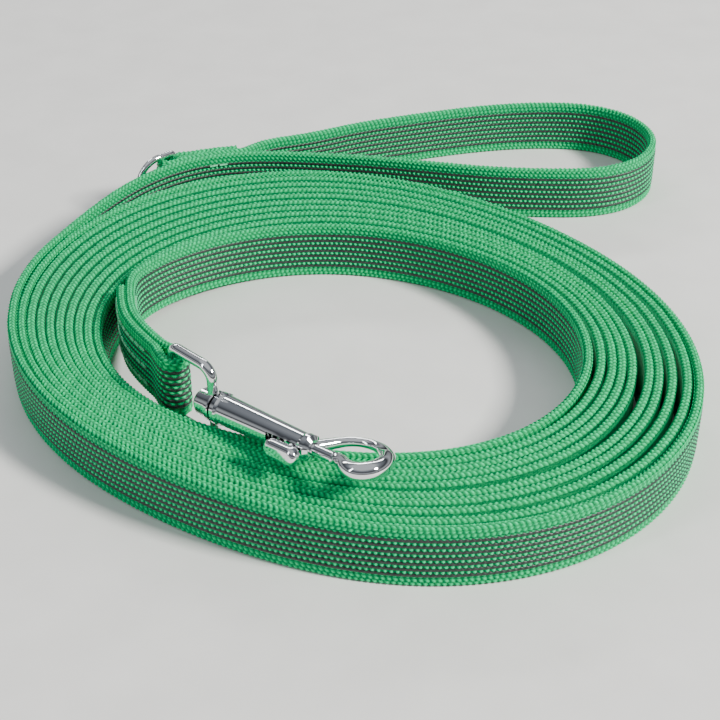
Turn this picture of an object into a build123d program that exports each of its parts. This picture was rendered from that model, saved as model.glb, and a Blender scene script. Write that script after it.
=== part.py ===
from build123d import *
import os
from math import atan2, cos, degrees, hypot, pi, radians, sin

# Training leash: flat rubberised webbing wound on edge into a spiral coil,
# with a sewn hand loop and a small D-ring at one end and a swivel bolt snap
# at the other.  Millimetres, +Z up.  Everything is drawn from BOX_CENTRE's
# origin and moved at the end, so that the origin is the box's bottom centre.
BOX_CENTRE = (-0.17, -0.43)

# ---------------------------------------------------------------- webbing
TAPE_WIDTH = 15.0          # stands on edge, so this is the coil's height
TAPE_THICK = 1.9
PLY_GAP = 0.06             # air between two plies that are sewn together
TURNS = 10.0               # turns counted from the coil's left side
COIL_CENTRE = (-4.65, -22.5)

# Radius of the winding at no turns, and what ten turns add to it.  Each is
# a mean and a few waves round the coil: (waves, amplitude, phase degrees).
INNER_MEAN = 50.6
INNER_WAVES = ((1, 3.5, -95.0), (2, 4.9, -17.0), (3, 1.0, -39.0))
BUILD_UP_MEAN = 26.0
BUILD_UP_WAVES = ((1, 4.4, 70.0), (2, 5.6, -54.0))

FREE_START = 0.30          # turn where the inner end starts to leave the coil
FREE_END = 0.05            # turn where it follows the spiral no longer
END_GAP = 0.001            # turns of air between two stretches of the tape
COIL_STEPS = 72            # points per turn on the coil's outline

# ---------------------------------------------------------------- snap
SNAP_PIVOT = (-41.1, -51.0, 16.85)   # middle of the swivel eye's end bar
SNAP_HEADING = -43.4       # degrees from +X, seen from above
SNAP_RISE = 8.0            # degrees that the barrel climbs; the eye stands upright
BEND_AT = 12.0             # along the snap, where the barrel tips up from the eye
HOOK_ROLL = -10.0          # degrees about the snap's own axis

EYE_WIRE = 2.5
EYE_HALF = 9.4             # axis to the middle of a side bar
EYE_FRONT = 12.6           # middle of the bar that carries the hub
EYE_CORNER, EYE_SHOULDER = 1.75, 3.2
HUB_AT, HUB_R = 8.4, 3.1   # the eye's hub reaches back into the loop
FLANGE_AT, FLANGE_R, FLANGE_LEN = 12.9, 3.5, 1.1
SHANK_R = 1.5
HEAD_R, HEAD_AT, HEAD_LEN = 1.77, 18.8, 1.4

COLLAR_AT, COLLAR_LEN, COLLAR_R = 14.6, 2.0, 3.7
BARREL_END = 43.2
BARREL_REAR_R, BARREL_FRONT_R = 3.45, 2.6
BORE_R, BORE_END = 1.85, 42.2
NOSE_BORE_R = 1.33
RUNNING_GAP = 0.06         # radial air round a turning or sliding piece

SEAT_AT, SEAT_LEN = 20.4, 0.8
PISTON_REAR, PISTON_FRONT = 36.4, 42.0
BOLT_R = 1.26
BOLT_TIP = 49.1
BOLT_TRAVEL = 6.5
STEM_AT, STEM_R = 39.4, 0.9
KNOB_HALF = (4.6, 1.4, 2.0)  # along the snap, outward, upward
KNOB_ROUND = 1.15
KNOB_OUT, KNOB_DOWN = 5.05, 0.4
SLOT_HALF = 1.0
SPRING_WIRE, SPRING_R, SPRING_COILS = 0.5, 1.45, 8

# Middle line of the hook's wire (along the snap, sideways) and its radius.
HOOK_LINE = (
    (42.6, 1.0), (43.9, 4.6), (45.8, 8.0), (49.0, 9.9), (52.8, 9.8),
    (56.1, 7.9), (58.0, 4.6), (57.9, 1.1), (56.0, -1.1), (53.4, -1.2),
    (51.2, -0.3), (49.5, 0.05),
)
HOOK_RADII = (1.5, 1.25, 1.05, 1.0, 1.1, 1.4, 1.75, 1.95, 2.0, 1.85, 1.6, 1.4)

# ---------------------------------------------------------------- handle
# Middle line of the tape from the coil, along the front of the hand loop,
# round its far end and back along the rear strand.
LEAD_POINTS = (
    (-57.6, 48.0), (-46.5, 56.2), (-32.0, 61.4), (-18.0, 62.8), (-3.5, 62.0),
    (10.5, 59.6), (24.5, 56.7), (38.0, 54.4), (52.0, 53.4), (65.0, 54.0),
)
BEND_POINTS = (
    (74.4, 57.7), (80.9, 64.6), (83.6, 73.4), (82.0, 82.4), (76.4, 90.0),
    (68.0, 94.6),
)
REAR_POINTS = (
    (56.6, 96.2), (41.5, 95.0), (26.5, 91.6), (11.6, 87.0), (-3.0, 81.6),
    (-17.5, 74.6), (-30.0, 67.4),
)
SEWN_START, SEWN_END = 85.0, 104.5   # distances along the lead
RING_WIRE = 1.8
RING_HALF = 8.6            # middle of the ring to the middle of a leg
RING_DEPTH = 12.0
RING_CORNER, RING_BOW = 1.0, 7.4
RING_LEAN = -6.0           # degrees that the ring stands off the webbing
HANDLE_LIFT = 2.05         # the ring's bar holds the sewn plies up this much
HANDLE_LIFT_SPAN = 50.0

SNAP_FREE_POINTS = ((-56.6, -15.6), (-54.3, -26.6), (-49.0, -38.0))
SNAP_LIFT = 9.35
SNAP_LIFT_SPAN = 105.0
DOUBLED_LENGTH = 42.0
PLY_CLOSING = 9.0          # the plies close up over this length past a fold
PLY_RETURN = 18.0
FOLD_STEPS = 10
FOLD_PLACE = 3             # place where the rear strand ends and the fold starts
SNAP_STEP, HANDLE_STEP = 2.6, 3.2    # distances between the tape's places
LOOP_END = 82              # place where the lead ends and the rear strand starts
THREAD_R = 0.28
STITCH_LEN, STITCH_PITCH = 2.2, 3.0
STITCH_EDGE = 4.6          # outer rows of stitches to the tape's middle


# ---------------------------------------------------------------- curves
def waves(mean, terms, angle):
    """Mean plus a few cosine waves at an angle in degrees."""
    return mean + sum(a * cos(radians(k * (angle - p))) for k, a, p in terms)


def spiral_point(turn, outward=0.0):
    """Point of the tape's middle line, offset outward, at a turn count."""
    angle = 180.0 - 360.0 * turn
    radius = waves(INNER_MEAN, INNER_WAVES, angle)
    radius += turn / TURNS * waves(BUILD_UP_MEAN, BUILD_UP_WAVES, angle)
    radius += outward
    return (
        COIL_CENTRE[0] + radius * cos(radians(angle)),
        COIL_CENTRE[1] + radius * sin(radians(angle)),
    )


def spiral_run(first, last, steps, outward=0.0):
    """Evenly spaced points of the spiral between two turn counts."""
    step = (last - first) / steps
    return [spiral_point(first + i * step, outward) for i in range(steps + 1)]


def line_length(points):
    """Length of the straight runs between points."""
    return sum(hypot(b[0] - a[0], b[1] - a[1]) for a, b in zip(points, points[1:]))


def stations(points, step):
    """Places and headings at every step along a smooth curve, and at its end."""
    curve = Spline(*[(x, y) for x, y in points])
    count = int(curve.length / step - 0.3)
    result = []
    for part in [i * step / curve.length for i in range(count + 1)] + [1.0]:
        place = curve @ part
        heading = curve % part
        result.append((place.X, place.Y, atan2(heading.Y, heading.X)))
    return result


def with_lift(places, lift_at):
    """Add the middle's height, from the distance along the run."""
    result, run = [], 0.0
    for i, (x, y, h) in enumerate(places):
        if i:
            run += hypot(x - places[i - 1][0], y - places[i - 1][1])
        result.append((x, y, h, TAPE_WIDTH / 2 + lift_at(run)))
    return result


def offset_place(place, left):
    """Move a place sideways, left of its heading."""
    x, y, h, z = place
    return (x - left * sin(h), y + left * cos(h), h, z)


def flipped(place):
    """The same place, travelled the other way."""
    x, y, h, z = place
    return (x, y, h + pi, z)


def ribbon(places):
    """Tape on edge through places: x, y, heading and middle's height."""
    up = Vector(0, 0, TAPE_WIDTH / 2)
    sections = []
    for x, y, h, z in places:
        middle = Vector(x, y, z)
        left = Vector(-sin(h), cos(h), 0) * (TAPE_THICK / 2)
        corners = (middle - left - up, middle + left - up, middle + left + up, middle - left + up)
        sections.append(Wire.make_polygon(corners, close=True))
    return Solid.make_loft(sections, ruled=True)


# ---------------------------------------------------------------- webbing
def coil_webbing():
    """The wound turns as one closed ring of their true outline."""
    outer = spiral_run(TURNS - 1, TURNS, COIL_STEPS, TAPE_THICK / 2)
    inner = spiral_run(FREE_START, FREE_START + 1, COIL_STEPS, -TAPE_THICK / 2)
    faces = []
    for points in (outer, inner):
        edge = Spline(*points)
        step = Line(points[-1], points[0])
        faces.append(make_face(Wire([edge, step])))
    return extrude(faces[0] - faces[1], TAPE_WIDTH, dir=(0, 0, 1))


def snap_lift(distance):
    """Rise of the inner end above the coil, by distance from the fold."""
    part = max(0.0, 1.0 - distance / SNAP_LIFT_SPAN)
    return SNAP_LIFT * part * part


def snap_end_places():
    """The inner end's middle line, from the eye's fold back to the coil."""
    back = spiral_run(FREE_START - END_GAP, FREE_END, 12)
    route = list(reversed(back + list(SNAP_FREE_POINTS) + [SNAP_PIVOT[:2]]))
    return with_lift(stations(route, SNAP_STEP), snap_lift)


def fold_radius(wire):
    """Radius of the middle of a ply that is folded round a bar."""
    return wire / 2 + RUNNING_GAP + TAPE_THICK / 2


def run_to(places, index):
    """Distance along the places up to an index."""
    return line_length([(p[0], p[1]) for p in places[:index + 1]])


def smooth(part):
    """Smooth step from 0 to 1."""
    part = min(1.0, max(0.0, part))
    return part * part * (3 - 2 * part)


def ply_offset(distance):
    """Offset of a ply from the middle line: wide at the fold, then closed."""
    closed = (TAPE_THICK + PLY_GAP) / 2
    if distance > DOUBLED_LENGTH:
        return closed * (1 - smooth((distance - DOUBLED_LENGTH) / PLY_RETURN))
    wide = fold_radius(EYE_WIRE)
    return wide + (closed - wide) * smooth(distance / PLY_CLOSING)


def snap_end_parts():
    """Inner ply with its fold round the eye's bar, and the sewn tail."""
    places = snap_end_places()
    runs = [run_to(places, i) for i in range(len(places))]
    start = next(i for i, run in enumerate(runs) if run > 4.0)
    doubled = sum(run < DOUBLED_LENGTH for run in runs)
    body = [offset_place(p, -ply_offset(r)) for p, r in zip(places, runs)]
    tail = [offset_place(p, ply_offset(r)) for p, r in zip(places[:doubled], runs)]
    return ribbon(body[start:]), fold_round_eye(body[start], tail[start]), ribbon(tail[start:])


def fold_round_eye(body_end, tail_end):
    """Half turn of tape round the eye's bar, joining the two plies."""
    heading = snap_end_places()[0][2] + pi
    radius = fold_radius(EYE_WIRE)
    x, y, z = SNAP_PIVOT
    places = [flipped(body_end)]
    for i in range(FOLD_STEPS + 1):
        turn = heading + pi / 2 - pi * i / FOLD_STEPS
        places.append((x + radius * cos(turn), y + radius * sin(turn), turn - pi / 2, z))
    places.append(tail_end)
    return ribbon(places)


# ---------------------------------------------------------------- snap
def along_snap(shape):
    """Put a shape made along +X with its side on +Y in the barrel's place."""
    return snap_plane(0.0).location * shape


def along_hook(shape):
    """The same, rolled about the snap's axis as the hook is."""
    return snap_plane(HOOK_ROLL).location * shape


def along_eye(shape):
    """Put a shape made along +X in the place of the upright eye."""
    return Pos(*SNAP_PIVOT) * Rot(0, 0, SNAP_HEADING) * shape


def snap_plane(roll):
    """Plane of the barrel: X along it, Y to its left, rolled about X.
    Its axis meets the upright eye's middle line at BEND_AT."""
    heading, rise, roll = radians(SNAP_HEADING), radians(SNAP_RISE), radians(roll)
    along = Vector(cos(heading) * cos(rise), sin(heading) * cos(rise), sin(rise))
    side = Vector(-sin(heading), cos(heading), 0)
    up = along.cross(side)
    level = Vector(cos(heading), sin(heading), 0)
    start = Vector(*SNAP_PIVOT) + (level - along) * BEND_AT
    return Plane(origin=start, x_dir=along, z_dir=up * cos(roll) - side * sin(roll))


def turned(profile):
    """Solid turned about X from (along, radius) points."""
    points = [(x, r) for x, r in profile]
    closed = points + [(points[-1][0], 0.0), (points[0][0], 0.0)]
    face = make_face(Polyline(*closed, close=True))
    return revolve(face, axis=Axis.X)


def swivel_eye():
    """Upright wire loop with its hub, flange, shank and headed end."""
    loop = FilletPolyline(
        (0, 0, -EYE_HALF), (0, 0, EYE_HALF), (EYE_FRONT, 0, EYE_HALF), (EYE_FRONT, 0, -EYE_HALF),
        radius=(EYE_CORNER, EYE_CORNER, EYE_SHOULDER, EYE_SHOULDER), close=True,
    )
    start = Plane(origin=loop @ 0, z_dir=loop % 0)
    wire = sweep(start * Circle(EYE_WIRE / 2), path=loop)
    flange_end = FLANGE_AT + FLANGE_LEN
    stem = turned((
        (HUB_AT, HUB_R - 1.2), (HUB_AT + 0.4, HUB_R - 0.5), (HUB_AT + 1.2, HUB_R),
        (FLANGE_AT - 0.3, HUB_R), (FLANGE_AT, FLANGE_R), (flange_end - 0.2, FLANGE_R),
        (flange_end, FLANGE_R - 0.2), (flange_end, SHANK_R),
        (HEAD_AT, SHANK_R), (HEAD_AT, HEAD_R), (HEAD_AT + HEAD_LEN, HEAD_R),
    ))
    return along_eye(wire) + along_snap(stem)


def collar():
    """Turned cap at the barrel's rear that keeps the eye's head in."""
    end = COLLAR_AT + COLLAR_LEN
    ring = turned((
        (COLLAR_AT, COLLAR_R - 0.5), (COLLAR_AT + 0.4, COLLAR_R),
        (end - 0.5, COLLAR_R), (end, COLLAR_R - 0.25),
    ))
    hole = turned(((COLLAR_AT - 1, SHANK_R + RUNNING_GAP), (end + 1, SHANK_R + RUNNING_GAP)))
    return along_hook(ring - hole)


def hook_wire():
    """The open hook, thin at its back and thick at its bend."""
    curve = Spline(*[(x, y, 0) for x, y in HOOK_LINE])
    count = 3 * (len(HOOK_LINE) - 1)
    sections = []
    for i in range(count + 1):
        part = i / count
        index = min(int(part * (len(HOOK_RADII) - 1)), len(HOOK_RADII) - 2)
        rest = part * (len(HOOK_RADII) - 1) - index
        radius = HOOK_RADII[index] * (1 - rest) + HOOK_RADII[index + 1] * rest
        plane = Plane(origin=curve @ part, x_dir=(0, 0, 1), z_dir=curve % part)
        sections.append(plane * Circle(radius))
    return loft(sections)


def hook_body():
    """Hollow slotted barrel and hook, cast in one."""
    start = COLLAR_AT + COLLAR_LEN
    barrel = turned((
        (start, BARREL_REAR_R - 0.2), (start + 0.3, BARREL_REAR_R),
        (BARREL_END - 2.6, BARREL_FRONT_R), (BARREL_END - 1.9, BARREL_FRONT_R + 0.25),
        (BARREL_END - 0.7, BARREL_FRONT_R + 0.2), (BARREL_END, BARREL_FRONT_R - 0.7),
    ))
    bore = turned(((start - 1, BORE_R), (BORE_END, BORE_R)))
    nose = turned(((BORE_END - 1, NOSE_BORE_R), (BARREL_END + 3, NOSE_BORE_R)))
    slot_rear = STEM_AT - BOLT_TRAVEL - STEM_R - 0.15
    slot_front = STEM_AT + STEM_R + 0.15
    slot = Pos((slot_rear + slot_front) / 2, -3.0, 0) * Box(slot_front - slot_rear, 6.0, 2 * SLOT_HALF)
    return along_hook(barrel + hook_wire() - bore - nose - slot)


def latch_bolt():
    """Sliding bolt: a piston in the bore and the thin rod that shuts the hook."""
    bolt = turned((
        (PISTON_REAR, BORE_R - RUNNING_GAP), (PISTON_FRONT, BORE_R - RUNNING_GAP),
        (PISTON_FRONT, BOLT_R), (BOLT_TIP - 0.3, BOLT_R), (BOLT_TIP, BOLT_R - 0.3),
    ))
    stem_hole = Pos(STEM_AT, 0, 0) * Rot(90, 0, 0) * Cylinder(STEM_R, 12)
    upper_half = Pos(STEM_AT, 6.0, 0) * Box(4, 12, 4)
    return along_hook(bolt - (stem_hole - upper_half))


def thumb_knob():
    """Oblong thumb knob on a round stem that runs in the barrel's slot."""
    stem = Pos(STEM_AT, -2.2, 0) * Rot(90, 0, 0) * Cylinder(STEM_R - 0.02, 4.4)
    length, depth, height = KNOB_HALF
    outline = SlotOverall(2 * length, 2 * height)
    button = extrude(Plane.XZ * outline, amount=depth, both=True)
    button = fillet(button.edges(), KNOB_ROUND)
    pad = Pos(STEM_AT - 0.4, -KNOB_OUT, -KNOB_DOWN) * button
    return along_hook(stem + pad)


def latch_spring():
    """Compression spring behind the piston."""
    length = PISTON_REAR - SEAT_AT - SEAT_LEN - SPRING_WIRE - 0.1
    start = SEAT_AT + SEAT_LEN + SPRING_WIRE / 2 + 0.05
    path = Helix(pitch=length / SPRING_COILS, height=length, radius=SPRING_R)
    plane = Plane(origin=path @ 0, z_dir=path % 0)
    coil = sweep(plane * Circle(SPRING_WIRE / 2), path=path, is_frenet=True)
    return along_hook(Pos(start, 0, 0) * Rot(0, 90, 0) * coil)


def spring_seat():
    """Washer between the spring and the eye's head."""
    outer = BORE_R - 0.01
    ring = turned(((SEAT_AT, outer), (SEAT_AT + SEAT_LEN, outer)))
    hole = turned(((SEAT_AT - 1, 0.6), (SEAT_AT + SEAT_LEN + 1, 0.6)))
    return along_hook(ring - hole)


# ---------------------------------------------------------------- handle
def handle_places():
    """The lead and the whole hand loop, up to where the ring's fold starts."""
    route = spiral_run(TURNS + END_GAP, TURNS + 0.085, 4)
    route += list(LEAD_POINTS) + list(BEND_POINTS) + list(REAR_POINTS)
    sewn = sewn_stretch(with_lift(stations(route, HANDLE_STEP), lead_lift))
    route += [place[:2] for place in reversed(sewn[FOLD_PLACE:])]
    plain = stations(route, HANDLE_STEP)
    total = line_length([place[:2] for place in plain]) + run_to(sewn, FOLD_PLACE)

    def lift_at(run):
        return max(lead_lift(run), lead_lift(SEWN_START + total - run))

    return with_lift(plain, lift_at)


def lead_lift(run):
    """Lower edge's height near the ring, by distance along the lead."""
    part = min(1.0, abs(run - SEWN_START) / HANDLE_LIFT_SPAN)
    return HANDLE_LIFT * (0.5 + 0.5 * cos(pi * part))


def sewn_stretch(places):
    """Places of the returning ply where it lies on the lead's outer side."""
    runs = [run_to(places, i) for i in range(len(places))]
    inside = [p for p, r in zip(places, runs) if SEWN_START <= r <= SEWN_END]
    return [offset_place(p, TAPE_THICK + PLY_GAP) for p in inside]


def lead_webbing(handle):
    """Tape from the coil to the middle of the hand loop's far end."""
    return ribbon(handle[:LOOP_END + 1])


def rear_strand(handle):
    """Rest of the hand loop, back to the ring's fold."""
    return ribbon(handle[LOOP_END:])


def ring_bar(sewn):
    """Middle of the ring's straight bar and the sewn ply's heading there."""
    x, y, heading, z = offset_place(sewn[0], fold_radius(RING_WIRE))
    return (x, y, z), heading


def ring_fold(sewn, strand_end):
    """End of the rear strand, folded round the ring's bar and sewn down."""
    (cx, cy, cz), heading = ring_bar(sewn)
    radius = fold_radius(RING_WIRE)
    places = [strand_end] + [flipped(sewn[i]) for i in range(FOLD_PLACE - 1, 0, -1)]
    for i in range(FOLD_STEPS + 1):
        turn = heading - pi / 2 - pi * i / FOLD_STEPS
        places.append((cx + radius * cos(turn), cy + radius * sin(turn), turn - pi / 2, cz))
    closed, wide = TAPE_THICK + PLY_GAP, 2 * radius
    for place in sewn[1:]:
        gap = wide + (closed - wide) * smooth(run_to(sewn, sewn.index(place)) / PLY_CLOSING)
        places.append(offset_place(place, gap))
    return ribbon(places)


def handle_ring(sewn):
    """D-ring: a straight bar in the fold and a round bow outside it."""
    (cx, cy, cz), heading = ring_bar(sewn)
    bow = FilletPolyline(
        (0, 0, -RING_HALF), (0, 0, RING_HALF), (RING_DEPTH, 0, RING_HALF),
        (RING_DEPTH, 0, -RING_HALF), radius=(RING_CORNER, RING_CORNER, RING_BOW, RING_BOW), close=True,
    )
    wire = sweep(Plane(origin=bow @ 0, z_dir=bow % 0) * Circle(RING_WIRE / 2), path=bow)
    turn = degrees(heading) + 180.0 - RING_LEAN
    return Pos(cx, cy, cz) * Rot(0, 0, turn) * wire


# ---------------------------------------------------------------- stitching
def stitch_row(places, side, height):
    """A row of short threads on one face of the tape."""
    row = []
    for place in places:
        x, y, h, z = offset_place(place, side)
        thread = Rot(0, 90, 0) * Cylinder(THREAD_R, STITCH_LEN)
        row.append(Pos(x, y, z + height) * Rot(0, 0, degrees(h)) * thread)
    return row


def stitching(places, faces, first, last):
    """Three rows of stitches on each of two faces, as one group of threads."""
    picked = spaced(places, first, last)
    threads = []
    for height in (-STITCH_EDGE, 0.0, STITCH_EDGE):
        for side in faces:
            threads += stitch_row(picked, side, height)
    return Compound(threads)


def snap_stitching():
    """Threads through the doubled inner end."""
    face = TAPE_THICK + PLY_GAP + THREAD_R
    return stitching(snap_end_places(), (-face, face), PLY_CLOSING + 3.0, DOUBLED_LENGTH - 3.0)


def handle_stitching(sewn):
    """Threads through the lead, the returning ply and its folded end."""
    face = 1.5 * TAPE_THICK + 2 * PLY_GAP + THREAD_R
    last = run_to(sewn, len(sewn) - 1) - 1.5
    return stitching(sewn, (-face, face), PLY_CLOSING + 1.0, last)


def spaced(places, first, last):
    """Places at the stitch pitch between two distances along the run."""
    result, mark = [], first
    for i, place in enumerate(places):
        while run_to(places, i) >= mark and mark <= last:
            previous = places[i - 1]
            reach = run_to(places, i) - run_to(places, i - 1)
            part = (mark - run_to(places, i - 1)) / reach
            result.append(tuple(a + (b - a) * part for a, b in zip(previous, place)))
            mark += STITCH_PITCH
    return result


def snap_nodes():
    """The swivel bolt snap's pieces."""
    return {
        "swivel_eye": swivel_eye(),
        "collar": collar(),
        "hook_body": hook_body(),
        "latch_bolt": latch_bolt(),
        "thumb_knob": thumb_knob(),
        "latch_spring": latch_spring(),
        "spring_seat": spring_seat(),
    }


def webbing_nodes():
    """The tape's stretches, its threads and the ring."""
    body, fold, tail = snap_end_parts()
    handle = handle_places()
    sewn = sewn_stretch(handle[:LOOP_END])
    return {
        "coil_webbing": coil_webbing(),
        "snap_end_webbing": body,
        "snap_fold": fold,
        "snap_tail": tail,
        "snap_stitching": snap_stitching(),
        "lead_webbing": lead_webbing(handle),
        "rear_strand": rear_strand(handle),
        "ring_fold": ring_fold(sewn, handle[-1]),
        "handle_stitching": handle_stitching(sewn),
        "handle_ring": handle_ring(sewn),
    }


def main():
    """Write every sub-part and print the box and the joints' places."""
    os.makedirs("parts", exist_ok=True)
    move = Pos(-BOX_CENTRE[0], -BOX_CENTRE[1], 0)
    nodes = {name: move * shape for name, shape in (webbing_nodes() | snap_nodes()).items()}
    for name, shape in nodes.items():
        export_step(shape, f"parts/{name}.step")
    box = Compound(children=list(nodes.values())).bounding_box()
    print("box", box.min, box.max)
    print("eye's bar", move * Vertex(*SNAP_PIVOT), "barrel", move * snap_plane(0.0).location)
    print("barrel's axis", snap_plane(0.0).x_dir, "and up", snap_plane(0.0).z_dir)
    print("ring bar", ring_bar(sewn_stretch(handle_places()[:LOOP_END])), "before the move")


main()
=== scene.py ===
import bpy
import numpy as np
from math import cos, pi, radians, sin
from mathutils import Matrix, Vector


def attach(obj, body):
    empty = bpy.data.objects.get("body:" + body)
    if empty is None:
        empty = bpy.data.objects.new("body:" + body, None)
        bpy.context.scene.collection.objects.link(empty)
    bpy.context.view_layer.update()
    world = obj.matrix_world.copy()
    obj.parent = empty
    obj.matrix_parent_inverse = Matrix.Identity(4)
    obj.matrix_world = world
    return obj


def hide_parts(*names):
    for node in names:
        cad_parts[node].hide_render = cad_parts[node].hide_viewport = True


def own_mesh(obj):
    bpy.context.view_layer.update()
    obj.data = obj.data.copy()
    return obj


# Training leash: one rubberised tape wound on edge into a coil, with a sewn
# hand loop and D-ring at one end and a swivel bolt snap at the other.
# Lengths are millimetres until a mesh is made.  The route repeats the CAD's.
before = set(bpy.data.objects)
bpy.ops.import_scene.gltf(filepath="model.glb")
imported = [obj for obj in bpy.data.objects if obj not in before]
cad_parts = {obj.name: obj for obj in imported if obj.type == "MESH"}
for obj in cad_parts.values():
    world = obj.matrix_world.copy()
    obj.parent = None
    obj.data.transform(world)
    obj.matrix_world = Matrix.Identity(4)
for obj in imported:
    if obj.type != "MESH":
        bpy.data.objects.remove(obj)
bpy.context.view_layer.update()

MM = 0.001
MOVE = (0.17, 0.43)            # from the route's origin to the frame's

TAPE_WIDTH = 15.0
TAPE_THICK = 1.9
PLY_GAP = 0.06
TURNS = 10.0
COIL_CENTRE = (-4.65, -22.5)
INNER_MEAN = 50.6
INNER_WAVES = ((1, 3.5, -95.0), (2, 4.9, -17.0), (3, 1.0, -39.0))
BUILD_UP_MEAN = 26.0
BUILD_UP_WAVES = ((1, 4.4, 70.0), (2, 5.6, -54.0))
FREE_START, FREE_END = 0.30, 0.05

# How far each turn strays from even spacing on the coil's right side, and
# where in a turn and at what angle that side is.
TURN_SHIFT = (0.0, 0.3, 0.1, -0.5, -1.1, 0.1, -0.6, -0.45, 0.2, 0.0, 0.0)
SHIFT_AT, SHIFT_ANGLE = 0.45, -20.0

SNAP_PIVOT = (-41.1, -51.0)
SNAP_FREE_POINTS = ((-49.0, -38.0), (-54.3, -26.6), (-56.6, -15.6))
SNAP_LIFT, SNAP_LIFT_SPAN = 9.35, 105.0
DOUBLED_LENGTH = 42.0
PLY_CLOSING, PLY_RETURN = 9.0, 18.0
EYE_WIRE, RING_WIRE = 2.5, 1.8
RUNNING_GAP = 0.06

LEAD_POINTS = (
    (-57.6, 48.0), (-46.5, 56.2), (-32.0, 61.4), (-18.0, 62.8), (-3.5, 62.0),
    (10.5, 59.6), (24.5, 56.7), (38.0, 54.4), (52.0, 53.4), (65.0, 54.0),
)
BEND_POINTS = (
    (74.4, 57.7), (80.9, 64.6), (83.6, 73.4), (82.0, 82.4), (76.4, 90.0),
    (68.0, 94.6),
)
REAR_POINTS = (
    (56.6, 96.2), (41.5, 95.0), (26.5, 91.6), (11.6, 87.0), (-3.0, 81.6),
    (-17.5, 74.6), (-30.0, 67.4),
)
LEAD_OVERLAP = 0.085           # part of a turn that the lead's route shares
SEWN_START, SEWN_END = 85.0, 104.5
LANDING = 9.0                  # from the ring's bar to where the strand lands
HANDLE_LIFT, HANDLE_LIFT_SPAN = 2.05, 50.0

# The snap's barrel: a point on its axis, the axis, and its spring.
BARREL_AT = (-40.8452, -50.6503, 15.18)
BARREL_AXIS = (0.719504, -0.680401, 0.139173)
SPRING_FROM, SPRING_TO = 21.25, 36.35
SPRING_R, SPRING_WIRE, SPRING_COILS = 1.45, 0.5, 8

# Sampling: along the tape, between a curve's guide points, and round a section.
STEP = 0.25
GUIDE_STEP = 9.0
TURN_LENGTH = 450.0            # about one turn, for counting its points
FACE_POINTS, EDGE_POINTS = 56, 14
ROW_ANGLES = (-6.0, 36.0, 66.0, 114.0, 144.0, 186.0)

# Weave: pitch of the bumps along the tape and of the rows across it.
BUMP_PITCH = 1.26
ROW_PITCH = 1.5
SELVEDGE_PITCH = 1.08
ROWS = 7
BAND_HALF = ROW_PITCH * ROWS / 2
BASE_HALF = 0.86               # middle to the ground of the weave
PLAIN_HALF = 1.06              # middle to a face that lies in the coil
BAR_RISE, SELVEDGE_RISE, EDGE_RISE = 0.42, 0.30, 0.46
EDGE_SINK = 0.15               # how far an edge's valleys lie inside the tape's width
EDGE_ROUND, SOLE_ROUND = 0.85, 0.35
FACE_END = 0.45                # from the tape's edge to where a face's points stop
ROW_WIDTH, ROW_RISE = 0.56, 0.42
ROW_ROOT = 0.06                # how deep a row's edges lie in the ground
ROW_WAVE = 0.15                # how far a row wanders up and down, like a rope

# Turns at the coil's inside and outside whose faces are woven in full.
INNER_WOVEN, OUTER_WOVEN = 0.648, 1.25

# Where the rubber rows stop on faces that are sewn or lie in the coil.
ROWS_AFTER_TAIL, ROWS_AFTER_COIL, ROWS_BEFORE_END = 12.0, 20.0, 30.0

# Camera: metres, degrees below the horizon, and lens and sensor width.
CAMERA_AT, CAMERA_DOWN = (-0.00048, -0.31857, 0.208), 34.66
LENS, SENSOR = 75.0, 36.0
FLOOR_HALF = 20000


# ------------------------------------------------------------------ route
def waves(mean, terms, angle):
    """Mean plus a few cosine waves at angles in degrees."""
    return mean + sum(a * np.cos(np.radians(k * (angle - p))) for k, a, p in terms)


def spiral(first, last, step=STEP):
    """Points of the winding between two turn counts, with its uneven gaps."""
    count = int(abs(last - first) * TURN_LENGTH / step) + 1
    turn = np.linspace(first, last, count)
    angle = 180.0 - 360.0 * turn
    radius = waves(INNER_MEAN, INNER_WAVES, angle)
    radius = radius + turn / TURNS * waves(BUILD_UP_MEAN, BUILD_UP_WAVES, angle)
    stray = np.interp(turn, np.arange(len(TURN_SHIFT)) + SHIFT_AT, TURN_SHIFT)
    radius = radius + stray * (0.5 + 0.5 * np.cos(np.radians(angle - SHIFT_ANGLE)))
    x = COIL_CENTRE[0] + radius * np.cos(np.radians(angle))
    y = COIL_CENTRE[1] + radius * np.sin(np.radians(angle))
    return np.stack([x, y], axis=1)


def distances(line):
    """Distance along a line of points, at each point."""
    steps = np.linalg.norm(np.diff(line, axis=0), axis=1)
    return np.concatenate([[0.0], np.cumsum(steps)])


def curve_through(points, step=STEP):
    """Natural cubic spline through the points, sampled at about a step."""
    p = np.array(points, float)
    t = distances(p)
    h = np.diff(t)
    n = len(p)
    system = np.eye(n)
    right = np.zeros_like(p)
    for i in range(1, n - 1):
        system[i, i - 1:i + 2] = h[i - 1], 2 * (h[i - 1] + h[i]), h[i]
        right[i] = 6 * ((p[i + 1] - p[i]) / h[i] - (p[i] - p[i - 1]) / h[i - 1])
    bend = np.linalg.solve(system, right)
    s = np.linspace(0.0, t[-1], int(t[-1] / step) + 1)
    i = np.clip(np.searchsorted(t, s, side="right") - 1, 0, n - 2)
    a = ((t[i + 1] - s) / h[i])[:, None]
    b = 1.0 - a
    curved = (a ** 3 - a) * bend[i] + (b ** 3 - b) * bend[i + 1]
    return a * p[i] + b * p[i + 1] + curved * (h[i] ** 2)[:, None] / 6


def left_of(line):
    """Unit vectors to the left of a line's heading."""
    ahead = np.gradient(line, axis=0)
    ahead /= np.linalg.norm(ahead, axis=1)[:, None]
    return np.stack([-ahead[:, 1], ahead[:, 0]], axis=1)


def beside(line, left):
    """A line moved to its left, by one amount or one for each point."""
    return line + left_of(line) * np.reshape(left, (-1, 1))


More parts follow.
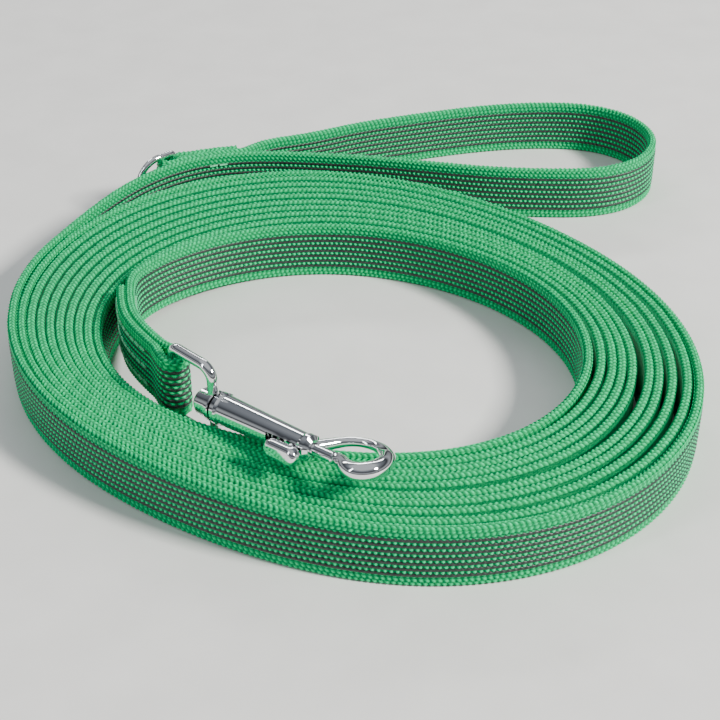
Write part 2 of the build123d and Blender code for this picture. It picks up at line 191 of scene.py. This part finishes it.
def smooth(part):
    """Smooth step from 0 to 1."""
    part = np.clip(part, 0.0, 1.0)
    return part * part * (3 - 2 * part)


def fold_radius(wire):
    """Radius of the middle of a ply folded round a bar."""
    return wire / 2 + RUNNING_GAP + TAPE_THICK / 2


def half_turn(centre, radius, start, sign):
    """Half circle of points from a start angle in radians."""
    angle = start + sign * np.linspace(0.0, pi, int(pi * radius / STEP) + 1)
    return np.array(centre) + radius * np.stack([np.cos(angle), np.sin(angle)], axis=1)


def with_height(line, lift):
    """Columns x, y and middle's height for a line of points."""
    return np.column_stack([line, np.zeros(len(line)) + TAPE_WIDTH / 2 + lift])


def snap_end():
    """Sewn tail, fold round the swivel eye, and the inner end up to the coil."""
    back = spiral(FREE_START, FREE_END, GUIDE_STEP)[::-1]
    line = curve_through([SNAP_PIVOT, *SNAP_FREE_POINTS, *back])
    run = distances(line)
    closed, wide = (TAPE_THICK + PLY_GAP) / 2, fold_radius(EYE_WIRE)
    offset = wide + (closed - wide) * smooth(run / PLY_CLOSING)
    offset *= 1 - smooth((run - DOUBLED_LENGTH) / PLY_RETURN)
    lift = SNAP_LIFT * np.clip(1.0 - run / SNAP_LIFT_SPAN, 0.0, 1.0) ** 2
    tail = with_height(beside(line, offset), lift)
    body = with_height(beside(line, -offset), lift)
    ahead = line[1] - line[0]
    start = np.arctan2(ahead[1], ahead[0]) + pi / 2
    fold = half_turn(line[0], wide, start, 1)
    past_fold = run > 0.4
    return np.vstack([
        tail[past_fold & (run < DOUBLED_LENGTH)][::-1],
        with_height(fold, SNAP_LIFT),
        body[past_fold],
    ])


def lead_lift(run):
    """Lift of the tape near the D-ring, by distance along the lead."""
    part = np.clip(np.abs(run - SEWN_START) / HANDLE_LIFT_SPAN, 0.0, 1.0)
    return HANDLE_LIFT * (0.5 + 0.5 * np.cos(pi * part))


def hand_loop():
    """Lead, hand loop and the end folded round the D-ring's bar."""
    ply = TAPE_THICK + PLY_GAP
    start = spiral(TURNS, TURNS + LEAD_OVERLAP, GUIDE_STEP)
    route = [*start, *LEAD_POINTS, *BEND_POINTS, *REAR_POINTS]
    lead = curve_through(route)
    run = distances(lead)
    sewn_part = (run >= SEWN_START) & (run <= SEWN_END)
    sewn = beside(lead, ply)[sewn_part]
    sewn_run = run[sewn_part] - SEWN_START
    sewn_lift = lead_lift(run[sewn_part])
    landing = sewn[sewn_run > LANDING][::-12]
    whole = curve_through([*route, *landing])
    run = distances(whole)
    to_ring = run[-1] - run + LANDING
    lift = np.maximum(lead_lift(run), lead_lift(SEWN_START + to_ring))

    radius = fold_radius(RING_WIRE)
    across = left_of(sewn)[0]
    centre = sewn[0] + across * radius
    fold = half_turn(centre, radius, np.arctan2(-across[1], -across[0]), -1)
    gap = 2 * radius + (ply - 2 * radius) * smooth(sewn_run / PLY_CLOSING)
    down = sewn[sewn_run <= LANDING][::-1]
    return np.vstack([
        with_height(whole, lift),
        with_height(down[:-1], sewn_lift[sewn_run <= LANDING][::-1][:-1]),
        with_height(fold, HANDLE_LIFT),
        with_height(beside(sewn, gap)[2:], sewn_lift[2:]),
    ])


def resampled(route):
    """The route at even steps, so that the weave's pitch is even."""
    run = distances(route)
    keep = np.concatenate([[True], np.diff(run) > 1e-6])
    even = np.linspace(0.0, run[-1], int(run[-1] / STEP) + 1)
    columns = [np.interp(even, run[keep], route[keep, k]) for k in range(3)]
    return even, np.stack(columns, axis=1) + np.array([*MOVE, 0.0])


# ---------------------------------------------------------------- webbing
def sides(route):
    """Unit vectors to the tape's left, level with the floor."""
    return np.column_stack([left_of(route[:, :2]), np.zeros(len(route))])


def ripple(phase):
    """Cosine wave from 0 to 1 with its crest at whole numbers."""
    return 0.5 + 0.5 * np.cos(2 * pi * phase)


def face_relief(along, across):
    """Height of the green weft: short bars between the rubber rows, then two
    rows of slanted bumps in each selvedge."""
    between = across / ROW_PITCH + ROWS / 2
    line = np.round(between)
    bar = ripple(along / BUMP_PITCH + 0.5 * (line % 2) + 0.10 * (between - line))
    width = np.clip(ripple(between - line) * 1.5 - 0.35, 0.0, 1.0)
    band = BAR_RISE * bar ** 1.4 * width
    out = np.abs(across) - BAND_HALF
    column = np.floor(out / SELVEDGE_PITCH)
    rib = ripple(along / BUMP_PITCH + 0.5 * column + 0.22 * out)
    selvedge = SELVEDGE_RISE * rib * np.abs(np.sin(pi * out / SELVEDGE_PITCH)) ** 0.7
    return np.where(out < 0.0, band, selvedge)


def edge_relief(along, across):
    """Height of the bumps on the tape's narrow edges, in two slanted rows."""
    rows = np.abs(np.sin(pi * across)) ** 0.7
    phase = along / BUMP_PITCH + 0.5 * (across > 0) + 0.45 * np.abs(across)
    uneven = 0.75 + 0.25 * np.sin(along * 2.9 + across) * np.sin(along * 1.7)
    return EDGE_RISE * uneven * rows * ripple(phase) ** 1.2


def section(left_woven, right_woven):
    """Profile points round the tape: out, up, woven side and place on an edge.
    A woven face has a fine grid for its relief and a plain one has none."""
    half = TAPE_WIDTH / 2
    end = half - FACE_END

    def face(sign, woven):
        rises = np.linspace(-end, end, FACE_POINTS) if woven else (-end, end)
        out = BASE_HALF if woven else PLAIN_HALF
        return [(sign * out, rise, sign * float(woven), 0.0) for rise in rises]

    left, right = face(1, left_woven), face(-1, right_woven)
    crown, sole = [], []
    for t in np.linspace(0.94, -0.94, EDGE_POINTS):
        wide = left[0][0] if t > 0 else -right[0][0]
        crown.append((t * wide, half - EDGE_ROUND * abs(t) ** 3, 0.0, t))
    for t in (-0.8, -0.3, 0.3, 0.8):
        sole.append((t * BASE_HALF, SOLE_ROUND * abs(t) ** 3 - half, 0.0, 0.0))
    return left + crown + right[::-1] + sole


def tape_mesh(along, route, profile):
    """Vertices, faces and crown values of one stretch of tape; the crown values set the
    painted shade of the nylon.
    """
    side = sides(route)
    flat = np.zeros(len(along))
    rings, crown_shade_values = [], []
    for out, rise, woven, edge in profile:
        relief = flat
        if woven:
            relief = face_relief(along, rise + flat)
            out = out + woven * relief
        elif edge:
            relief = edge_relief(along, edge + flat)
            rise = rise + relief - EDGE_SINK
            out = out * (1 + 0.22 * relief)
        ring = route + side * np.reshape(out + flat, (-1, 1))
        ring[:, 2] += rise
        rings.append(ring)
        # painted shade: low relief darkens the weave's valleys, the factor by edge darkens
        # the tape's edges where the turns meet, and plain faces and the sole take the
        # darkest green
        crown_shade_values.append(relief / 0.4 * (1.0 - 0.6 * abs(edge) ** 3))
    count, n = len(profile), len(along)
    points = np.stack(rings, axis=1).reshape(-1, 3)
    row = np.arange(n - 1)[:, None] * count
    a = (row + np.arange(count)).reshape(-1)
    b = (row + (np.arange(count) + 1) % count).reshape(-1)
    quads = np.stack([a, a + count, b + count, b], axis=1)
    return points, quads, np.stack(crown_shade_values, axis=1).reshape(-1)


def mesh_object(name, points, faces, finish, crown_shade_values=None):
    """Smooth object from points in millimetres."""
    mesh = bpy.data.meshes.new(name)
    flat = np.asarray(points, float) * MM
    mesh.from_pydata(flat.tolist(), [], [[int(v) for v in face] for face in faces])
    # crown values kept for the nylon's painted shade
    if crown_shade_values is not None:
        layer = mesh.attributes.new("crown", "FLOAT", "POINT")
        layer.data.foreach_set("value", np.asarray(crown_shade_values, np.float32))
    mesh.shade_smooth()
    mesh.update()
    mesh.materials.append(finish)
    thing = bpy.data.objects.new(name, mesh)
    bpy.context.collection.objects.link(thing)
    return thing


def webbing(along, route, stretches, finish):
    """The whole tape: fine where its faces show, plain inside the coil."""
    points, faces, crown_shade_values, base = [], [], [], 0
    for first, last, left, right in stretches:
        part = (along >= first - STEP) & (along <= last + STEP)
        profile = section(left, right)
        p, quads, c = tape_mesh(along[part], route[part], profile)
        ring = np.arange(len(profile))
        faces += [*(quads + base), base + ring, (base + len(p) - len(ring) + ring)[::-1]]
        points.append(p)
        crown_shade_values.append(c)
        base += len(p)
    return mesh_object("webbing", np.vstack(points), faces, finish, np.concatenate(crown_shade_values))


def rubber_row(along, route, row, side_sign):
    """One raised rubber thread, twisted like a rope and pinched by the weft."""
    side = sides(route)
    height = (row - (ROWS - 1) / 2) * ROW_PITCH
    phase = along / BUMP_PITCH + 0.5 * (row % 2)
    rings = []
    for turn in np.radians(ROW_ANGLES):
        bead = ripple(phase + 0.30 * cos(turn))
        width = ROW_WIDTH * (0.74 + 0.26 * bead)
        rise = 0.08 + ROW_RISE * (0.35 + 0.65 * bead)
        out = BASE_HALF - ROW_ROOT + rise * sin(turn)
        ring = route + side * (side_sign * out)[:, None]
        ring[:, 2] += height + width * cos(turn) + ROW_WAVE * np.sin(2 * pi * phase)
        rings.append(ring)
    points = np.stack(rings, axis=1).reshape(-1, 3)
    k = len(rings)
    a = (np.arange(len(along) - 1)[:, None] * k + np.arange(k - 1)).reshape(-1)
    quads = np.stack([a, a + 1, a + k + 1, a + k], axis=1)
    return points, quads if side_sign > 0 else quads[:, ::-1]


def rubber_threads(along, route, stretches, finish):
    """Rubber rows on the faces that show, as one piece."""
    points, quads, base = [], [], 0
    for first, last, side_sign in stretches:
        part = (along >= first) & (along <= last)
        for row in range(ROWS):
            p, q = rubber_row(along[part], route[part], row, side_sign)
            points.append(p)
            quads.append(q + base)
            base += len(p)
    return mesh_object("rubber_threads", np.vstack(points), np.vstack(quads), finish)


# ----------------------------------------------------------------- spring
def latch_spring(finish):
    """Compression spring in the barrel, made as a fixed helix; the real one shortens as the
    bolt is drawn.
    """
    axis = np.array(BARREL_AXIS)
    side = np.cross(axis, (0.0, 0.0, 1.0))
    side /= np.linalg.norm(side)
    up = np.cross(side, axis)
    half = SPRING_WIRE / 2
    angle = np.linspace(0.0, 2 * pi * SPRING_COILS, 24 * SPRING_COILS + 1)
    place = np.linspace(SPRING_FROM + half, SPRING_TO - half, len(angle))
    out = np.outer(np.cos(angle), side) + np.outer(np.sin(angle), up)
    middle = np.array(BARREL_AT) + np.outer(place, axis) + SPRING_R * out
    turns = np.linspace(0.0, 2 * pi, 11)[:-1]
    rings = [middle + half * (cos(t) * out + sin(t) * axis) for t in turns]
    points = np.stack(rings, axis=1).reshape(-1, 3)
    k = len(turns)
    row = np.arange(len(angle) - 1)[:, None] * k
    a = (row + np.arange(k)).reshape(-1)
    b = (row + (np.arange(k) + 1) % k).reshape(-1)
    faces = [*np.stack([a, b, b + k, a + k], axis=1), np.arange(k)[::-1]]
    faces.append(len(points) - k + np.arange(k))
    spring = mesh_object("spring", points, faces, finish)
    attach(spring, "hook")
    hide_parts("latch_spring")
    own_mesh(spring)


# -------------------------------------------------------------- materials
def material(name, colour, rough, metal=0.0):
    """Material with its shader's own values set."""
    made = bpy.data.materials.new(name)
    made.use_nodes = True
    shader = made.node_tree.nodes["Principled BSDF"]
    shader.inputs["Base Color"].default_value = (*colour, 1.0)
    shader.inputs["Roughness"].default_value = rough
    shader.inputs["Metallic"].default_value = metal
    return made, made.node_tree, shader


def add_noise(tree, scale, detail=3.0):
    """Noise in the object's own metres."""
    place = tree.nodes.new("ShaderNodeTexCoord")
    noise = tree.nodes.new("ShaderNodeTexNoise")
    noise.inputs["Scale"].default_value = scale
    noise.inputs["Detail"].default_value = detail
    tree.links.new(place.outputs["Object"], noise.inputs["Vector"])
    return noise.outputs["Fac"]


def ramp(tree, value, stops):
    """Colours by value."""
    node = tree.nodes.new("ShaderNodeValToRGB")
    while len(node.color_ramp.elements) < len(stops):
        node.color_ramp.elements.new(0.5)
    for element, (at, colour) in zip(node.color_ramp.elements, stops):
        element.position = at
        element.color = (*colour, 1.0)
    tree.links.new(value, node.inputs["Fac"])
    return node.outputs["Color"]


def add_bump(tree, shader, value, strength, distance):
    """Fine relief from a value."""
    bump = tree.nodes.new("ShaderNodeBump")
    bump.inputs["Strength"].default_value = strength
    bump.inputs["Distance"].default_value = distance
    tree.links.new(value, bump.inputs["Height"])
    tree.links.new(bump.outputs["Normal"], shader.inputs["Normal"])


def math_node(tree, kind, first, second):
    """Arithmetic on two values or sockets."""
    node = tree.nodes.new("ShaderNodeMath")
    node.operation = kind
    for socket, value in zip(node.inputs, (first, second)):
        if isinstance(value, (int, float)):
            socket.default_value = value
        else:
            tree.links.new(value, socket)
    return node.outputs[0]


def nylon():
    """Bright green nylon with painted shade: darker in the weave's valleys and at the
    tape's edges where the turns meet, by the crown value.
    """
    made, tree, shader = material("green_nylon", (0.0, 0.5, 0.14), 0.45)
    # the crown value drives the painted shade in the valleys and between the turns
    crown = tree.nodes.new("ShaderNodeAttribute")
    crown.attribute_name = "crown"
    fibre = add_noise(tree, 2600.0, 2.0)
    mixed = math_node(tree, "MULTIPLY_ADD", fibre, 0.45)
    tree.links.new(crown.outputs["Fac"], mixed.node.inputs[2])
    colour = ramp(tree, mixed, (
        (0.12, (0.0, 0.09, 0.028)), (0.48, (0.0, 0.41, 0.135)), (1.0, (0.0, 0.76, 0.28)),
    ))
    tree.links.new(colour, shader.inputs["Base Color"])
    shader.inputs["Specular IOR Level"].default_value = 0.14
    shader.inputs["Specular Tint"].default_value = (0.3, 1.0, 0.5, 1.0)
    add_bump(tree, shader, fibre, 0.5, 0.00012)
    return made


def rubber():
    """Dark grey-green rubber thread."""
    made, tree, shader = material("rubber_thread", (0.02, 0.034, 0.028), 0.45)
    noise = add_noise(tree, 900.0)
    colour = ramp(tree, noise, ((0.3, (0.008, 0.017, 0.014)), (0.7, (0.026, 0.046, 0.037))))
    tree.links.new(colour, shader.inputs["Base Color"])
    add_bump(tree, shader, noise, 0.4, 0.0001)
    return made


def chrome():
    """Polished plating with faint wear."""
    made, tree, shader = material("chrome", (0.86, 0.87, 0.88), 0.06, 1.0)
    noise = add_noise(tree, 260.0, 4.0)
    rough = ramp(tree, noise, ((0.35, (0.02, 0.02, 0.02)), (0.75, (0.10, 0.10, 0.10))))
    tree.links.new(rough, shader.inputs["Roughness"])
    add_bump(tree, shader, add_noise(tree, 1500.0), 0.03, 0.00005)
    return made


def spring_steel():
    """Plain drawn steel of the inner spring and washer."""
    made, tree, shader = material("spring_steel", (0.45, 0.45, 0.46), 0.3, 1.0)
    add_bump(tree, shader, add_noise(tree, 3000.0), 0.1, 0.00005)
    return made


def sewing_thread():
    """Twisted thread, a little paler than the nylon."""
    made, tree, shader = material("sewing_thread", (0.05, 0.55, 0.25), 0.35)
    noise = add_noise(tree, 4000.0)
    colour = ramp(tree, noise, ((0.3, (0.01, 0.42, 0.15)), (0.7, (0.22, 0.78, 0.45))))
    tree.links.new(colour, shader.inputs["Base Color"])
    add_bump(tree, shader, noise, 0.4, 0.0001)
    return made


# ------------------------------------------------------ camera and studio
def camera():
    """Camera at the photograph's viewing angle."""
    lens = bpy.data.cameras.new("camera")
    lens.lens, lens.sensor_width = LENS, SENSOR
    lens.clip_start = 0.01
    holder = bpy.data.objects.new("camera", lens)
    holder.location = CAMERA_AT
    holder.rotation_euler = (radians(90.0 - CAMERA_DOWN), 0.0, 0.0)
    bpy.context.collection.objects.link(holder)
    bpy.context.scene.camera = holder


def area_light(name, place, target, size, power, tint):
    """Soft rectangular light that points at a target."""
    data = bpy.data.lights.new(name, "AREA")
    data.shape, data.size, data.size_y = "RECTANGLE", size[0], size[1]
    data.energy, data.color = power, tint
    lamp = bpy.data.objects.new(name, data)
    lamp.location = place
    aim = Vector(target) - Vector(place)
    lamp.rotation_euler = aim.to_track_quat("-Z", "Y").to_euler()
    bpy.context.collection.objects.link(lamp)


def floor():
    """Pale floor with a faint grain."""
    made, tree, shader = material("floor", (0.80, 0.80, 0.78), 0.75)
    grain = add_noise(tree, 60.0)
    colour = ramp(tree, grain, ((0.3, (0.76, 0.76, 0.745)), (0.7, (0.81, 0.81, 0.795))))
    tree.links.new(colour, shader.inputs["Base Color"])
    far = FLOOR_HALF
    corners = [(-far, -far, 0), (far, -far, 0), (far, far, 0), (-far, far, 0)]
    mesh_object("floor", corners, [(0, 1, 2, 3)], made)


def lights():
    """Soft key light on the sun's side, gentle fill, and one from behind."""
    area_light("key", (1.05, -0.45, 0.90), (0, 0, 0), (0.26, 0.26), 38.0, (1.0, 0.97, 0.92))
    area_light("fill", (-0.95, -0.55, 0.75), (0, 0, 0), (0.12, 0.9), 4.0, (0.92, 0.96, 1.0))
    area_light("back", (-0.2, 1.1, 0.7), (0, 0, 0), (1.3, 0.12), 6.0, (1.0, 1.0, 1.0))


def surroundings():
    """Grey world with pale and dark bands by height, for the chrome to reflect."""
    world = bpy.data.worlds.new("studio")
    world.use_nodes = True
    tree = world.node_tree
    place = tree.nodes.new("ShaderNodeTexCoord")
    height = tree.nodes.new("ShaderNodeSeparateXYZ")
    tree.links.new(place.outputs["Generated"], height.inputs["Vector"])
    upward = math_node(tree, "MULTIPLY_ADD", height.outputs["Z"], 0.5)
    upward.node.inputs[2].default_value = 0.5
    sky = ramp(tree, upward, (
        (0.0, (0.10, 0.11, 0.12)), (0.52, (0.07, 0.08, 0.09)), (0.62, (0.95, 1.0, 1.05)),
        (0.72, (0.10, 0.11, 0.13)), (0.84, (0.50, 0.54, 0.60)), (0.92, (1.3, 1.35, 1.4)),
    ))
    background = tree.nodes["Background"]
    tree.links.new(sky, background.inputs["Color"])
    background.inputs["Strength"].default_value = 0.42
    bpy.context.scene.world = world


def tape_route():
    """The whole tape's route at even steps, and where its coil starts and ends."""
    first = snap_end()
    coil = with_height(spiral(FREE_START, TURNS)[1:-1], 0.0)
    whole = np.vstack([first, coil, hand_loop()])
    run = distances(whole)
    along, route = resampled(whole)
    return along, route, run[len(first)], run[len(first) + len(coil)]


def build_tape():
    """The tape with its rubber threads, both attached to the webbing's body."""
    along, route, coil_start, coil_end = tape_route()
    turn = (coil_end - coil_start) / (TURNS - FREE_START)
    inner = coil_start + INNER_WOVEN * turn
    outer, total = coil_end - OUTER_WOVEN * turn, along[-1]
    tape = webbing(along, route, (
        (0.0, inner, True, True),
        (inner, outer, False, False),
        (outer, total, True, True),
    ), nylon())
    threads = rubber_threads(along, route, (
        (0.0, inner, -1),
        (2.0 * DOUBLED_LENGTH + ROWS_AFTER_TAIL, coil_start, 1),
        (outer, total, 1),
        (coil_end + ROWS_AFTER_COIL, total - ROWS_BEFORE_END, -1),
    ), rubber())
    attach(tape, "webbing")
    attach(threads, "webbing")
    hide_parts("coil_webbing", "snap_end_webbing", "snap_fold", "snap_tail",
                "lead_webbing", "rear_strand", "ring_fold")


def finish_nodes(nodes, steel):
    """Chrome on the frame's pieces, but thread on the stitching and plain steel inside."""
    metal, thread = chrome(), sewing_thread()
    own = {"snap_stitching": thread, "handle_stitching": thread, "spring_seat": steel}
    for name, thing in nodes.items():
        thing.data.materials.clear()
        thing.data.materials.append(own.get(name, metal))


def main():
    """Camera and studio, then the tape, the spring and the frame's own pieces."""
    camera()
    floor()
    lights()
    surroundings()
    build_tape()
    steel = spring_steel()
    latch_spring(steel)
    finish_nodes(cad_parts, steel)


main()
